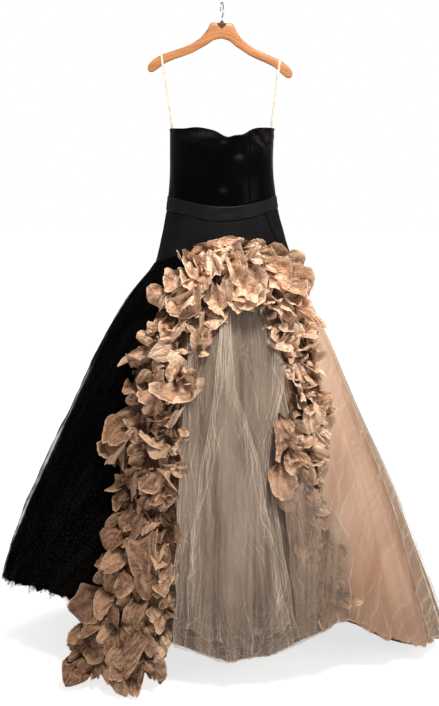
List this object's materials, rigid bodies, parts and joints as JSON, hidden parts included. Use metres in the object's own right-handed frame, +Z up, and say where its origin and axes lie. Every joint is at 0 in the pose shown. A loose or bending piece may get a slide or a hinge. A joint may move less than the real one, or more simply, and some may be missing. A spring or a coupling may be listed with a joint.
{
  "type": "strapless wedding dress on a wooden hanger",
  "caption": "Strapless wedding dress: black satin bodice, fitted hip yoke, full tulle skirt with petal ruffles down both sides, hung by ribbons on a wooden hanger.",
  "frame": {"origin": "top of the inside of the hanger's hook, where the rail carries it", "axes": "+Z up, -Y the front of the dress, +X the viewer's right"},
  "size_m": [1.3799, 0.7654, 1.8726],
  "materials": {
    "hook_steel": "polished wire",
    "collar_steel": "dull pressed metal",
    "hanger_wood": "satin varnish",
    "ribbon": "satin ribbon",
    "black_satin": "soft satin",
    "black_crepe": "matt crepe",
    "black_tulle": "layered tulle",
    "dark_underlayer": "matt lining",
    "taupe_tulle": "crushed tulle",
    "blush_tulle": "fine tulle",
    "nude_tulle": "fine tulle",
    "organza": "crisp organza",
    "zip_metal": "black enamel"
  },
  "bodies": {
    "dress": {"hanger_hook": "hook_steel", "hanger_bar": "hanger_wood", "hanger_collar": "collar_steel", "loop_left": "ribbon", "loop_right": "ribbon", "bodice_centre_front": "black_satin", "bodice_side_front_left": "black_satin", "bodice_side_front_right": "black_satin", "bodice_back_left": "black_satin", "bodice_back_right": "black_satin", "waistband_front": "black_satin", "waistband_back_left": "black_satin", "waistband_back_right": "black_satin", "yoke_front": "black_crepe", "yoke_back_left": "black_crepe", "yoke_back_right": "black_crepe", "zip_slider": "zip_metal", "underskirt": "dark_underlayer", "skirt_black": "black_tulle", "skirt_front": "taupe_tulle", "skirt_nude": "nude_tulle", "skirt_blush": "blush_tulle", "ruffle_crown": "organza", "ruffle_left_upper": "organza", "ruffle_left_lower": "organza", "ruffle_right_upper": "organza", "ruffle_right_lower": "organza"},
    "pull": {"zip_pull": "zip_metal"}
  },
  "joints": [
    {"name": "zip_pull_hinge", "type": "hinge", "parent": "dress", "child": "pull", "pos_m": [0, 0.09883, -0.381], "axis": [1, 0, 0], "range_deg": [0, 170]}
  ]
}
